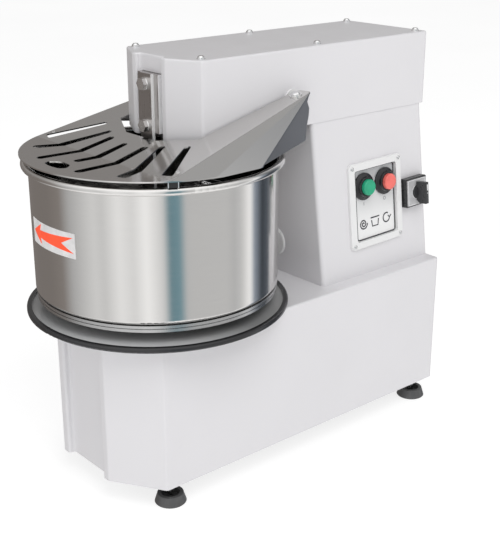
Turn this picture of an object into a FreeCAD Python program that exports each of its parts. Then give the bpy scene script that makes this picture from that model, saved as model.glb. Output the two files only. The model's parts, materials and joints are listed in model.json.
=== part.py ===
"""Spiral dough mixer with a fixed head: a 22 litre bench machine, in millimetres, +Z up.

The floor is Z = 0 and the machine is centred over the origin, with its front towards -Y.
Heights in the sheet are measured from the floor, and depths ("..._y") from the bowl's axis,
positive towards the back of the machine.
"""
import FreeCAD
import Part

import math
import os

import Sketcher
from FreeCAD import Placement, Rotation, Vector

doc = FreeCAD.newDocument("spiral_dough_mixer")

# ---------------------------------------------------------------- driving dimensions
DIMENSIONS = [
    # overall
    ("bowl_axis_y", -153.2, "bowl axis, from the centre of the machine's footprint"),
    ("sheet_steel", 2.0, "thickness of the painted casings and of the lid"),
    ("bend_radius", 6.0, "outside radius of the casings' bends"),
    # base
    ("base_bottom", 38.0, ""), ("base_top", 261.4, ""),
    ("base_half_width", 138.8, ""), ("base_front_y", -143.2, ""), ("base_rear_y", 488.0, ""),
    ("base_chamfer_x", 78.5, ""), ("base_chamfer_y", 49.2, ""),
    ("base_channel_half", 46.1, "half width of the styling channel down the front"),
    ("base_channel_depth", 9.6, ""),
    ("chassis_thickness", 5.0, ""),
    # column, a tapered box
    ("column_front_foot_y", 239.0, ""), ("column_front_top_y", 229.0, ""),
    ("column_rear_foot_y", 488.0, ""), ("column_rear_top_y", 477.0, ""),
    ("column_half_foot", 112.2, ""), ("column_half_top", 88.5, ""),
    # head
    ("head_bottom", 520.8, ""), ("head_top", 636.8, ""), ("head_half_width", 90.0, ""),
    ("head_front_y", -5.6, ""), ("head_rear_y", 484.0, ""),
    ("head_chamfer_x", 51.5, ""), ("head_chamfer_y", 25.8, ""),
    ("head_channel_half", 28.5, ""), ("head_channel_depth", 7.0, ""),
    ("head_plate_thickness", 8.0, "steel plate that carries the drives"),
    ("window_half", 24.5, "half width of the window for the breaker bar's mount"),
    ("window_top", 612.5, ""),
    ("cover_screw_x", 77.0, ""), ("cover_screw_front_y", 28.0, ""),
    ("cover_screw_pitch", 220.0, ""),
    # frame posts
    ("post_size", 30.0, ""), ("post_wall", 3.0, ""), ("post_x", 71.0, ""),
    ("post_front_y", 262.0, ""), ("post_rear_y", 458.0, ""),
    # breaker bar
    ("bar_half_width", 14.0, ""), ("bar_thickness", 5.0, ""), ("bar_front_y", -12.0, ""),
    ("bar_bottom", 328.0, ""), ("bar_bolt_low", 538.5, ""), ("bar_bolt_high", 598.0, ""),
    # bowl
    ("bowl_radius", 180.0, ""), ("bowl_wall", 2.0, ""), ("bowl_floor", 301.0, "underside"),
    ("bowl_corner", 7.0, ""), ("rim_radius", 190.1, ""), ("rim_top", 495.7, ""),
    ("rim_bead", 5.5, "radius of the rolled rim"),
    ("turntable_bottom", 291.5, ""), ("turntable_radius", 178.5, ""),
    ("bowl_shaft_radius", 20.0, ""),
    # black ring under the bowl
    ("ring_radius", 195.6, ""), ("ring_lip", 7.4, ""), ("ring_top", 275.5, ""),
    # spiral
    ("spiral_y", 88.0, ""), ("hook_radius", 70.0, "centre line of the helix"),
    ("hook_bar", 9.0, "radius of the bar"), ("hook_bottom", 318.0, ""),
    ("hook_top", 448.0, ""), ("spiral_shaft_radius", 15.0, ""),
    # drive
    ("drive_y", 300.0, ""), ("drive_shaft_radius", 12.5, ""), ("motor_y", 398.0, ""),
    ("motor_radius", 60.0, ""), ("chain_pitch", 12.7, ""),
    ("spiral_chain_z", 600.0, ""), ("bowl_chain_z", 146.0, ""),
    ("running_gap", 0.05, "radial clearance of a shaft in its bearing"),
    # lid
    ("lid_level", 506.0, "top of the lid's flat front plate"), ("lid_radius", 191.5, ""),
    ("lid_bend_y", -95.0, ""), ("lid_slope", 0.246, "rise of the tilted plate, per mm"),
    ("lid_inner_half", 93.5, "half width between the two arms beside the head"),
    ("lid_cut_front_y", -22.0, ""), ("lid_cut_front_half", 36.0, ""), ("lid_cut_side_y", 7.0, ""),
    ("lid_tip_x", 119.2, ""), ("lid_tip_y", 194.8, ""),
    ("lid_fold_y", -35.0, "where the two side facets meet the rim"),
    ("lid_corner_y", 45.0, "where the back panel leaves the rim"),
    ("lid_back_x", 93.5, ""), ("lid_back_y", 212.0, ""), ("lid_back_z", 498.5, ""),
    ("hinge_y", 186.0, ""), ("hinge_z", 563.5, ""), ("hinge_radius", 6.0, ""),
    # control panel, measured on the column's side: along it, and up it from the base
    ("panel_y", 361.6, ""), ("panel_z", 376.0, ""), ("panel_lean", 1.2, "degrees"),
    ("bezel_width", 121.0, ""), ("bezel_tall", 140.0, ""), ("bezel_depth", 5.0, ""),
    ("bezel_frame", 12.5, ""), ("skirt_half", 49.5, ""),
    ("plate_recess", 1.0, "label plate behind the column's face"),
    ("button_pitch", 48.5, ""), ("button_up", 30.0, "buttons above the panel's centre"),
    ("collar_radius", 22.0, ""), ("cap_radius", 12.8, ""), ("cap_travel", 4.0, ""),
    ("switch_y", 450.0, ""), ("switch_z", 378.0, ""), ("switch_size", 48.0, ""),
    ("switch_depth", 12.0, ""),
    # feet
    ("foot_x", 112.5, ""), ("foot_front_y", -70.0, ""), ("foot_rear_y", 464.0, ""),
    ("foot_radius", 23.8, ""), ("foot_neck", 19.5, ""), ("foot_tall", 15.0, ""),
    ("stud_radius", 5.0, ""),
    # details
    ("plug_radius", 24.0, ""), ("plug_z", 311.4, ""), ("gland_reach", 14.0, ""),
]

sheet = doc.addObject("Spreadsheet::Sheet", "Dimensions")
for row, (alias, value, note) in enumerate(DIMENSIONS, start=1):
    sheet.set(f"A{row}", alias)
    sheet.set(f"B{row}", str(value))
    sheet.set(f"C{row}", note)
    sheet.setAlias(f"B{row}", alias)
doc.recompute()


class Size:
    """A number together with the sheet expression that gives it."""

    def __init__(self, value, text=None):
        self.value = float(value)
        self.text = text or repr(float(value))

    @staticmethod
    def of(other):
        return other if isinstance(other, Size) else Size(other)

    def __add__(self, other):
        other = Size.of(other)
        return Size(self.value + other.value, f"({self.text} + {other.text})")

    def __sub__(self, other):
        other = Size.of(other)
        return Size(self.value - other.value, f"({self.text} - {other.text})")

    def __rsub__(self, other):
        return Size.of(other) - self

    def __mul__(self, other):
        other = Size.of(other)
        return Size(self.value * other.value, f"({self.text} * {other.text})")

    def __truediv__(self, other):
        other = Size.of(other)
        return Size(self.value / other.value, f"({self.text} / {other.text})")

    def __neg__(self):
        return Size(-self.value, f"(-1 * {self.text})")

    __radd__ = __add__
    __rmul__ = __mul__


class Dimensions:
    """The sheet's cells by alias, as sizes."""

    def __getattr__(self, alias):
        return Size(getattr(sheet, alias), f"Dimensions.{alias}")


d = Dimensions()
ZERO = Size(0.0)
parts = []


# ---------------------------------------------------------------- building helpers
def bind(thing, prop, size):
    """Tie a property to the sheet."""
    thing.setExpression(prop, Size.of(size).text)


def place(part, x=0.0, y=0.0, z=0.0, rotation=None):
    """Put a sub-part in the machine: x, y and z are from the bowl's axis at floor level."""
    x, y, z = Size.of(x), Size.of(y) + d.bowl_axis_y, Size.of(z)
    part.Placement = Placement(Vector(x.value, y.value, z.value), rotation or Rotation())
    for axis, size in (("x", x), ("y", y), ("z", z)):
        bind(part, f"Placement.Base.{axis}", size)
    return part


def keep(part):
    """Count a finished object as one of the machine's sub-parts."""
    parts.append(part)
    return part


def new_body(label):
    body = doc.addObject("PartDesign::Body", label)
    body.Label = label
    return body


def new_sketch(body, role, offset=0.0):
    """A sketch on one of the body's own origin planes, lifted by offset along its normal."""
    sketch = body.newObject("Sketcher::SketchObject", f"{body.Label}_sketch")
    origin_plane = [f for f in body.Origin.OriginFeatures if f.Role == role][0]
    sketch.AttachmentSupport = (origin_plane, [""])
    sketch.MapMode = "FlatFace"
    bind(sketch, "AttachmentOffset.Base.z", Size.of(offset))
    return sketch


def pin(sketch, geometry, point, x, y):
    """Fix one point of a sketch at x, y, with both distances tied to the sheet."""
    for kind, axis, size in (("DistanceX", -2, Size.of(x)), ("DistanceY", -1, Size.of(y))):
        if abs(size.value) < 1e-9:
            sketch.addConstraint(Sketcher.Constraint("PointOnObject", geometry, point, axis))
        else:
            index = sketch.addConstraint(
                Sketcher.Constraint(kind, -1, 1, geometry, point, size.value))
            sketch.setExpression(f"Constraints[{index}]", size.text)


def draw_polygon(sketch, corners):
    first = sketch.GeometryCount
    corners = [(Size.of(x), Size.of(y)) for x, y in corners]
    count = len(corners)
    for i in range(count):
        (x0, y0), (x1, y1) = corners[i], corners[(i + 1) % count]
        sketch.addGeometry(Part.LineSegment(Vector(x0.value, y0.value, 0),
                                            Vector(x1.value, y1.value, 0)))
    for i in range(count):
        sketch.addConstraint(
            Sketcher.Constraint("Coincident", first + i, 2, first + (i + 1) % count, 1))
    for i, (x, y) in enumerate(corners):
        pin(sketch, first + i, 1, x, y)


def draw_rectangle(sketch, x0, x1, y0, y1):
    draw_polygon(sketch, [(x0, y0), (x1, y0), (x1, y1), (x0, y1)])


def draw_rounded_rectangle(sketch, x0, x1, y0, y1, radius):
    """A rectangle with its corners rounded: each arc is pinned, and the lines are tangent."""
    radius = Size.of(radius)
    x0, x1, y0, y1 = (Size.of(s) for s in (x0, x1, y0, y1))
    centres = [(x1 - radius, y0 + radius), (x1 - radius, y1 - radius),
               (x0 + radius, y1 - radius), (x0 + radius, y0 + radius)]
    arcs, lines = [], []
    for i, (x, y) in enumerate(centres):
        circle = Part.Circle(Vector(x.value, y.value, 0), Vector(0, 0, 1), radius.value)
        start = (i - 1) * math.pi / 2
        arcs.append(sketch.addGeometry(Part.ArcOfCircle(circle, start, start + math.pi / 2)))
    for i, arc in enumerate(arcs):
        after = arcs[(i + 1) % 4]
        ends = sketch.getPoint(arc, 2), sketch.getPoint(after, 1)
        lines.append(sketch.addGeometry(Part.LineSegment(*ends)))
    for i, (x, y) in enumerate(centres):
        pin(sketch, arcs[i], 3, x, y)
        index = sketch.addConstraint(Sketcher.Constraint("Radius", arcs[i], radius.value))
        sketch.setExpression(f"Constraints[{index}]", radius.text)
        sketch.addConstraint(Sketcher.Constraint("Tangent", arcs[i], 2, lines[i], 1))
        sketch.addConstraint(Sketcher.Constraint("Tangent", lines[i], 2, arcs[(i + 1) % 4], 1))


def draw_circle(sketch, radius, x=0.0, y=0.0):
    x, y, radius = Size.of(x), Size.of(y), Size.of(radius)
    geometry = sketch.addGeometry(
        Part.Circle(Vector(x.value, y.value, 0), Vector(0, 0, 1), radius.value))
    pin(sketch, geometry, 3, x, y)
    index = sketch.addConstraint(Sketcher.Constraint("Radius", geometry, radius.value))
    sketch.setExpression(f"Constraints[{index}]", radius.text)


def add(body, kind, sketch, length, reverse=False):
    """Pad or Pocket a sketch by a length from the sheet, and check that it did something."""
    before = body.Shape.Volume if body.Tip else 0.0
    feature = body.newObject(f"PartDesign::{kind}", f"{body.Label}_{kind.lower()}")
    feature.Profile = sketch
    feature.Reversed = reverse
    bind(feature, "Length", Size.of(length))
    doc.recompute()
    grew = body.Shape.Volume > before + 1e-3
    shrank = body.Shape.Volume < before - 1e-3
    assert grew if kind == "Pad" else shrank, f"{body.Label}: {kind} changed nothing"
    return feature


def revolve(body, sketch):
    """Turn a sketch of the XZ plane about the body's Z axis."""
    feature = body.newObject("PartDesign::Revolution", f"{body.Label}_revolution")
    feature.Profile = sketch
    feature.ReferenceAxis = (sketch, ["V_Axis"])
    feature.Angle = 360.0
    doc.recompute()
    return feature


def round_edges(body, radius, chosen):
    """Fillet the edges of the body that the test picks."""
    solid = body.Tip
    names = [f"Edge{i}" for i, edge in enumerate(solid.Shape.Edges, start=1) if chosen(edge)]
    assert names, f"{body.Label}: no edges to round"
    fillet = body.newObject("PartDesign::Fillet", f"{body.Label}_fillet")
    fillet.Base = (solid, names)
    bind(fillet, "Radius", radius)
    doc.recompute()
    return fillet


def hollow(body, thickness, open_faces):
    """Shell the body inwards, with the faces that the test picks left open."""
    solid = body.Tip
    names = [f"Face{i}" for i, face in enumerate(solid.Shape.Faces, start=1) if open_faces(face)]
    shell = body.newObject("PartDesign::Thickness", f"{body.Label}_shell")
    shell.Base = (solid, names)
    shell.Reversed = True
    bind(shell, "Value", thickness)
    doc.recompute()
    return shell


def is_upright(edge):
    low, high = edge.Vertexes[0].Point, edge.Vertexes[-1].Point
    return abs(high.z - low.z) > 0.8 * edge.Length > 1.0


def turned(label, profile):
    """A body turned about Z from a closed profile of (radius, height) corners."""
    body = new_body(label)
    sketch = new_sketch(body, "XZ_Plane")
    draw_polygon(sketch, profile)
    revolve(body, sketch)
    return body


def plate(label, thickness, corners=None, radius=None):
    """A body padded up from its XY plane, from a polygon or a circle."""
    body = new_body(label)
    sketch = new_sketch(body, "XY_Plane")
    if corners:
        draw_polygon(sketch, corners)
    else:
        draw_circle(sketch, radius)
    add(body, "Pad", sketch, thickness)
    return body


def box(label, x0, x1, y0, y1, z0, z1):
    """A Part::Box between two corners, in the bowl axis's own frame."""
    block = doc.addObject("Part::Box", label)
    x0, x1, y0, y1, z0, z1 = (Size.of(s) for s in (x0, x1, y0, y1, z0, z1))
    for prop, size in (("Length", x1 - x0), ("Width", y1 - y0), ("Height", z1 - z0),
                       ("Placement.Base.x", x0), ("Placement.Base.y", y0),
                       ("Placement.Base.z", z0)):
        bind(block, prop, size)
    return block


def cylinder(label, radius, z0, z1, x=0.0, y=0.0):
    """An upright Part::Cylinder between two heights, in the bowl axis's own frame."""
    rod = doc.addObject("Part::Cylinder", label)
    for prop, size in (("Radius", radius), ("Height", Size.of(z1) - Size.of(z0)),
                       ("Placement.Base.x", x), ("Placement.Base.y", y),
                       ("Placement.Base.z", z0)):
        bind(rod, prop, Size.of(size))
    return rod


def joined(label, pieces):
    fusion = doc.addObject("Part::MultiFuse", label)
    fusion.Shapes = pieces
    fusion.Refine = True
    return fusion


def cut(label, base, tool):
    difference = doc.addObject("Part::Cut", label)
    difference.Base, difference.Tool = base, tool
    return difference


def grouped(label, pieces):
    """Several identical solids in one node."""
    group = doc.addObject("Part::Compound", label)
    group.Links = pieces
    return group


def feature(label, shape):
    """A Part::Feature whose shape is worked out in code from the sheet."""
    thing = doc.addObject("Part::Feature", label)
    thing.Shape = shape
    return thing


def mirrored_x(shape):
    return shape.mirror(Vector(0, 0, 0), Vector(1, 0, 0))


# ---------------------------------------------------------------- base
def front_outline(half, front_y, rear_y, chamfer_x, chamfer_y, channel_half, channel_depth):
    """Plan of a casing: chamfered front corners and a channel down the middle of the front."""
    right = [(channel_half, front_y + channel_depth), (channel_half, front_y),
             (half - chamfer_x, front_y), (half, front_y + chamfer_y), (half, rear_y)]
    left = [(-x, y) for x, y in reversed(right)]
    return right + left


base_casing = new_body("base_casing")
base_plan = new_sketch(base_casing, "XY_Plane", d.base_bottom)
draw_polygon(base_plan, front_outline(
    d.base_half_width, d.base_front_y, d.base_rear_y, d.base_chamfer_x, d.base_chamfer_y,
    d.base_channel_half, d.base_channel_depth))
add(base_casing, "Pad", base_plan, d.base_top - d.base_bottom)
round_edges(base_casing, d.base_channel_depth * 0.45,
            lambda e: is_upright(e) and abs(e.Vertexes[0].X) < d.base_channel_half.value + 1)
round_edges(base_casing, d.bend_radius,
            lambda e: is_upright(e) and abs(e.Vertexes[0].X) > d.base_channel_half.value + 10)
round_edges(base_casing, d.bend_radius * 0.5,
            lambda e: min(v.Z for v in e.Vertexes) > d.base_top.value - 0.01)
hollow(base_casing, d.sheet_steel,
       lambda f: f.BoundBox.ZMax < d.base_bottom.value + 0.01)
base_holes = new_sketch(base_casing, "XY_Plane", d.base_top)
draw_circle(base_holes, 72.0)
draw_rectangle(base_holes, -90.0, 90.0, d.column_front_foot_y + 4, d.column_rear_foot_y - 14)
add(base_casing, "Pocket", base_holes, d.sheet_steel * 2)
gland_hole = new_sketch(base_casing, "XZ_Plane", -d.base_rear_y)
draw_circle(gland_hole, 10.0, -80.0, d.base_bottom + 45)
add(base_casing, "Pocket", gland_hole, 10.0, reverse=True)
keep(place(base_casing))

inside = d.base_half_width - d.sheet_steel
chassis_plate = plate("chassis_plate", d.chassis_thickness, corners=[
    (inside - 5, d.base_rear_y - d.sheet_steel), (inside, d.base_rear_y - d.sheet_steel - 5),
    (inside, d.base_front_y + d.base_chamfer_y + 4),
    (inside - d.base_chamfer_x, d.base_front_y + 13),
    (d.base_chamfer_x - inside, d.base_front_y + 13),
    (-inside, d.base_front_y + d.base_chamfer_y + 4),
    (-inside, d.base_rear_y - d.sheet_steel - 5), (5 - inside, d.base_rear_y - d.sheet_steel)])
stud_holes = new_sketch(chassis_plate, "XY_Plane", d.chassis_thickness)
for x in (d.foot_x, -d.foot_x):
    for y in (d.foot_front_y, d.foot_rear_y):
        draw_circle(stud_holes, d.stud_radius + 0.5, x, y)
add(chassis_plate, "Pocket", stud_holes, d.chassis_thickness)
keep(place(chassis_plate, z=d.base_bottom))

# Inverted U of plate steel under the base's top, which carries the bowl's bearings. Its legs
# stand outside the bowl chain.
bridge_top = d.base_top - d.sheet_steel
bridge = joined("bridge_blank", [
    box("bridge_deck", -135.0, 135.0, -85.0, 85.0, bridge_top - 8, bridge_top),
    box("bridge_leg_left", -135.0, -129.5, -85.0, 85.0,
        d.base_bottom + d.chassis_thickness, bridge_top - 8),
    box("bridge_leg_right", 129.5, 135.0, -85.0, 85.0,
        d.base_bottom + d.chassis_thickness, bridge_top - 8)])
bowl_support_bridge = cut("bowl_support_bridge", bridge,
                          cylinder("bridge_hole", 45.0, bridge_top - 20, bridge_top + 5))
keep(place(bowl_support_bridge))

# ---------------------------------------------------------------- column
column_casing = new_body("column_casing")


def column_loft(kind, inset):
    """A tapered box between the base's top and the head, inset from the column's outside."""
    sections = []
    for height, half, front, rear in (
            (d.base_top, d.column_half_foot, d.column_front_foot_y, d.column_rear_foot_y),
            (d.head_bottom, d.column_half_top, d.column_front_top_y, d.column_rear_top_y)):
        section = new_sketch(column_casing, "XY_Plane", height)
        draw_rounded_rectangle(section, inset - half, half - inset, front + inset, rear - inset,
                               d.bend_radius - inset)
        sections.append(section)
    loft = column_casing.newObject(f"PartDesign::{kind}", f"column_{kind.lower()}")
    loft.Profile = sections[0]
    loft.Sections = sections[1:]
    doc.recompute()


column_loft("AdditiveLoft", ZERO)
column_loft("SubtractiveLoft", d.sheet_steel)
# openings: the panel and the rotary switch in the right side, a plug in the front, and a
# service opening in the back
side_openings = new_sketch(column_casing, "YZ_Plane")
draw_rectangle(side_openings, d.panel_y - 52, d.panel_y + 52, d.panel_z - 62,
               d.panel_z + 62)
draw_circle(side_openings, 12.0, d.switch_y, d.switch_z)
add(column_casing, "Pocket", side_openings, 200.0, reverse=True)
plug_hole = new_sketch(column_casing, "XZ_Plane")
draw_circle(plug_hole, d.plug_radius - 4, 0.0, d.plug_z)
add(column_casing, "Pocket", plug_hole, 300.0)
service_opening = new_sketch(column_casing, "XZ_Plane", Size(-400.0))
draw_rectangle(service_opening, -62.0, 62.0, d.base_top + 37, d.head_bottom - 43)
add(column_casing, "Pocket", service_opening, 200.0)
keep(place(column_casing))

posts = []
for i, (x, y) in enumerate([(sx * d.post_x, sy) for sx in (-1, 1)
                            for sy in (d.post_front_y, d.post_rear_y)]):
    half, bore = d.post_size / 2, d.post_size / 2 - d.post_wall
    low = d.base_bottom + d.chassis_thickness
    posts.append(cut(f"post_{i}",
                     box(f"post_bar_{i}", x - half, x + half, y - half, y + half,
                         low, d.head_bottom),
                     box(f"post_bore_{i}", x - bore, x + bore, y - bore, y + bore,
                         low - 1, d.head_bottom + 1)))
keep(place(grouped("frame_posts", posts)))


# ---------------------------------------------------------------- more helpers
def rod(label, radius, start, length, axis):
    """A Part::Cylinder along Y or X from a point, in the bowl axis's own frame."""
    pin_shape = doc.addObject("Part::Cylinder", label)
    turn = Rotation(Vector(1, 0, 0), -90) if axis == "Y" else Rotation(Vector(0, 1, 0), 90)
    pin_shape.Placement = Placement(Vector(), turn)
    for prop, size in (("Radius", radius), ("Height", length), ("Placement.Base.x", start[0]),
                       ("Placement.Base.y", start[1]), ("Placement.Base.z", start[2])):
        bind(pin_shape, prop, Size.of(size))
    return pin_shape


def ring(label, bore, outside, z0, z1):
    z0, z1 = Size.of(z0), Size.of(z1)
    return cut(label, cylinder(f"{label}_outside", outside, z0, z1),
               cylinder(f"{label}_bore", bore, z0 - 1, z1 + 1))


def copies(label, master, places):
    """One node of identical solids: the master's shape at each of the placements."""
    doc.recompute()
    return feature(label, Part.makeCompound(
        [master.Shape.transformed(p.toMatrix()) for p in places]))


def upright_at(*places):
    return [Placement(Vector(*(Size.of(s).value for s in place_)), Rotation())
            for place_ in places]


def hexagon_prism(label, across_flats, tall, bore):
    """A nut, or the head of a bolt."""
    body = new_body(label)
    sketch = new_sketch(body, "XY_Plane")
    reach = Size.of(across_flats) / math.sqrt(3)
    draw_polygon(sketch, [(reach * math.cos(math.radians(60 * i)),
                           reach * math.sin(math.radians(60 * i))) for i in range(6)])
    if bore:
        draw_circle(sketch, bore)
    add(body, "Pad", sketch, tall)
    return body


# ---------------------------------------------------------------- head
head_casing = new_body("head_casing")
head_plan = new_sketch(head_casing, "XY_Plane", d.head_bottom)
draw_polygon(head_plan, front_outline(
    d.head_half_width, d.head_front_y, d.head_rear_y, d.head_chamfer_x, d.head_chamfer_y,
    d.head_channel_half, d.head_channel_depth))
add(head_casing, "Pad", head_plan, d.head_top - d.head_bottom)
round_edges(head_casing, d.head_channel_depth * 0.45,
            lambda e: is_upright(e) and abs(e.Vertexes[0].X) < d.head_channel_half.value + 1)
round_edges(head_casing, d.bend_radius,
            lambda e: is_upright(e) and abs(e.Vertexes[0].X) > d.head_channel_half.value + 8)
round_edges(head_casing, d.bend_radius * 0.5,
            lambda e: min(v.Z for v in e.Vertexes) > d.head_top.value - 0.01)
hollow(head_casing, d.sheet_steel, lambda f: f.BoundBox.ZMax < d.head_bottom.value + 0.01)
window = new_sketch(head_casing, "XZ_Plane")
draw_rectangle(window, -d.window_half, d.window_half, d.head_bottom - 1, d.window_top)
add(head_casing, "Pocket", window, 10.0)
for reverse in (False, True):
    hinge_hole = new_sketch(head_casing, "YZ_Plane")
    draw_circle(hinge_hole, 11.0, d.hinge_y, d.hinge_z)
    add(head_casing, "Pocket", hinge_hole, 200.0, reverse)
cover_screw_places = [(side * d.cover_screw_x, d.cover_screw_front_y + d.cover_screw_pitch * i)
                      for side in (-1, 1) for i in range(3)]
cover_holes = new_sketch(head_casing, "XY_Plane", d.head_top)
for x, y in cover_screw_places:
    draw_circle(cover_holes, 3.3, x, y)
add(head_casing, "Pocket", cover_holes, d.sheet_steel * 2)
keep(place(head_casing))

head_inside = d.head_half_width - d.sheet_steel - 0.5
head_plate = plate("head_plate", d.head_plate_thickness, corners=[
    (head_inside - 5, d.head_rear_y - 2.5), (head_inside, d.head_rear_y - 7.5),
    (head_inside, d.head_front_y + 31),
    (d.head_half_width - d.head_chamfer_x - 2, d.head_front_y + 9.6),
    (d.head_chamfer_x - d.head_half_width + 2, d.head_front_y + 9.6),
    (-head_inside, d.head_front_y + 31), (-head_inside, d.head_rear_y - 7.5),
    (5 - head_inside, d.head_rear_y - 2.5)])
drive_holes = new_sketch(head_plate, "XY_Plane", d.head_plate_thickness)
draw_circle(drive_holes, 42.5, 0.0, d.spiral_y)
draw_circle(drive_holes, 20.0, 0.0, d.drive_y)
add(head_plate, "Pocket", drive_holes, d.head_plate_thickness)
keep(place(head_plate, z=d.head_bottom))

plate_top = d.head_bottom + d.head_plate_thickness
cover_posts = []
for i, (x, y) in enumerate(cover_screw_places):
    top = d.head_top - d.sheet_steel
    cover_posts.append(cut(f"cover_post_{i}",
                           cylinder(f"cover_post_bar_{i}", 8.0, plate_top, top, x, y),
                           cylinder(f"cover_post_thread_{i}", 3.0, top - 14, top + 1, x, y)))
keep(place(grouped("head_cover_posts", cover_posts)))

cover_screw = turned("cover_screw", [
    (0.0, -12.0), (3.0, -12.0), (3.0, 0.0), (6.0, 0.0), (6.0, 1.2), (5.25, 1.2), (5.25, 2.8),
    (3.4, 4.8), (0.0, 4.8)])
keep(place(copies("head_cover_screws", cover_screw,
                  upright_at(*((x, y, 0.0) for x, y in cover_screw_places))), z=d.head_top))

# breaker bar, bolted to a block that stands in the window
bolt_heights = (d.bar_bolt_low, d.bar_bolt_high)
bar_back_y = d.bar_front_y + d.bar_thickness
bar_mount = cut("bar_mount",
                box("bar_mount_block", 0.5 - d.window_half, d.window_half - 0.5, bar_back_y,
                    bar_back_y + 21, plate_top, d.window_top - 0.5),
                grouped("bar_mount_threads", [
                    rod(f"bar_mount_thread_{i}", 5.0, (0.0, bar_back_y - 1, z), 21.0, "Y")
                    for i, z in enumerate(bolt_heights)]))
keep(place(bar_mount))

breaker_bar = new_body("breaker_bar")
bar_face = new_sketch(breaker_bar, "XZ_Plane", -bar_back_y)
draw_rectangle(bar_face, -d.bar_half_width, d.bar_half_width, d.bar_bottom, d.window_top)
for z in bolt_heights:
    draw_circle(bar_face, 5.5, 0.0, z)
add(breaker_bar, "Pad", bar_face, d.bar_thickness)
round_edges(breaker_bar, d.bar_half_width - 2,
            lambda e: e.Length < 5.1 and e.Vertexes[0].Z < d.bar_bottom.value + 0.01
            and e.Vertexes[-1].Z < d.bar_bottom.value + 0.01)
keep(place(breaker_bar))

towards_front = Rotation(Vector(1, 0, 0), 90)
washer_front_y = d.bar_front_y - 2.0
bolt_head = hexagon_prism("bolt_head", 16.0, 6.4, None)
shank = new_sketch(bolt_head, "XY_Plane")
draw_circle(shank, 5.0)
add(bolt_head, "Pad", shank, 21.0, reverse=True)
bolt_places = [Placement(Vector(0, washer_front_y.value, z.value), towards_front)
               for z in bolt_heights]
keep(place(copies("breaker_bar_bolts", bolt_head, bolt_places)))
washer = ring("bar_washer", 5.5, 9.4, 0.0, 2.0)
keep(place(copies("breaker_bar_washers", washer, [
    Placement(Vector(0, d.bar_front_y.value, z.value), towards_front) for z in bolt_heights])))

# ---------------------------------------------------------------- spiral and its bearings
spiral_bearing_housing = turned("spiral_bearing_housing", [
    (31.0, plate_top - 16), (42.0, plate_top - 16), (42.0, plate_top), (60.0, plate_top),
    (60.0, plate_top + 8), (42.0, plate_top + 8), (42.0, plate_top + 56),
    (31.0, plate_top + 56)])
keep(place(spiral_bearing_housing, y=d.spiral_y))
bearing_bore = d.spiral_shaft_radius + d.running_gap
keep(place(grouped("spiral_bearings", [
    ring("spiral_bearing_low", bearing_bore, 31.0, plate_top - 13, plate_top + 3),
    ring("spiral_bearing_high", bearing_bore, 31.0, plate_top + 36, plate_top + 52)]),
    y=d.spiral_y))

hub_bottom = plate_top - 52
spiral_shaft = turned("spiral_shaft", [
    (0.0, hub_bottom), (22.0, hub_bottom), (22.0, hub_bottom + 20),
    (d.spiral_shaft_radius, hub_bottom + 20), (d.spiral_shaft_radius, d.spiral_chain_z + 10),
    (0.0, d.spiral_chain_z + 10)])
keep(place(spiral_shaft, y=d.spiral_y))


def rounded_path(points, share=0.45):
    """Straight runs joined by tangent arcs that use up the same share of the shorter run."""
    edges, start = [], points[0]
    for before, corner, after in zip(points, points[1:], points[2:]):
        inward, outward = corner - before, after - corner
        setback = share * min(inward.Length, outward.Length)
        inward.normalize()
        outward.normalize()
        enter, leave = corner - inward * setback, corner + outward * setback
        half_turn = inward.getAngle(outward) / 2
        radius = setback / math.tan(half_turn)
        middle = outward - inward
        middle.normalize()
        centre = enter + (middle - inward * (middle * inward)).normalize() * radius
        crown = centre + (corner - centre).normalize() * radius
        edges.append(Part.LineSegment(start, enter).toShape())
        edges.append(Part.Arc(enter, crown, leave).toShape())
        start = leave
    edges.append(Part.LineSegment(start, points[-1]).toShape())
    return Part.Wire(edges)


def hook_path():
    """Down from the hub, out to the helix, round it and in again at the foot."""
    step, turns = 30.0, 1.25
    top, bottom, reach = d.hook_top.value, d.hook_bottom.value, d.hook_radius.value
    count = round(360 * turns / step)
    points = [Vector(0, 0, hub_bottom.value), Vector(0, 0, top + 6)]
    rounds = [(-60, 0.42, top + 3), (-30, 0.78, top)]
    rounds += [(step * i, 1.0, top + (bottom - top) * (i + 1) / count) for i in range(count)]
    last = step * (count - 1)
    rounds += [(last + 25, 0.8, bottom), (last + 50, 0.5, bottom)]
    for angle, share, height in rounds:
        a = math.radians(angle)
        points.append(Vector(reach * share * math.cos(a), reach * share * math.sin(a), height))
    return rounded_path(points)


hook_wire = hook_path()
hook_section = Part.Wire(Part.makeCircle(
    d.hook_bar.value, hook_wire.Vertexes[0].Point, Vector(0, 0, 1)))
hook_shape = hook_wire.makePipeShell([hook_section], True, True)
hook_volume = math.pi * d.hook_bar.value ** 2 * hook_wire.Length
assert abs(hook_shape.Volume / hook_volume - 1) < 0.01, "the spiral's bar isn't a clean sweep"
keep(place(feature("spiral_hook", hook_shape), y=d.spiral_y))


# ---------------------------------------------------------------- sprockets, chains, drive
def pitch_radius(teeth):
    return d.chain_pitch * (0.5 / math.sin(math.pi / teeth))


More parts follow.
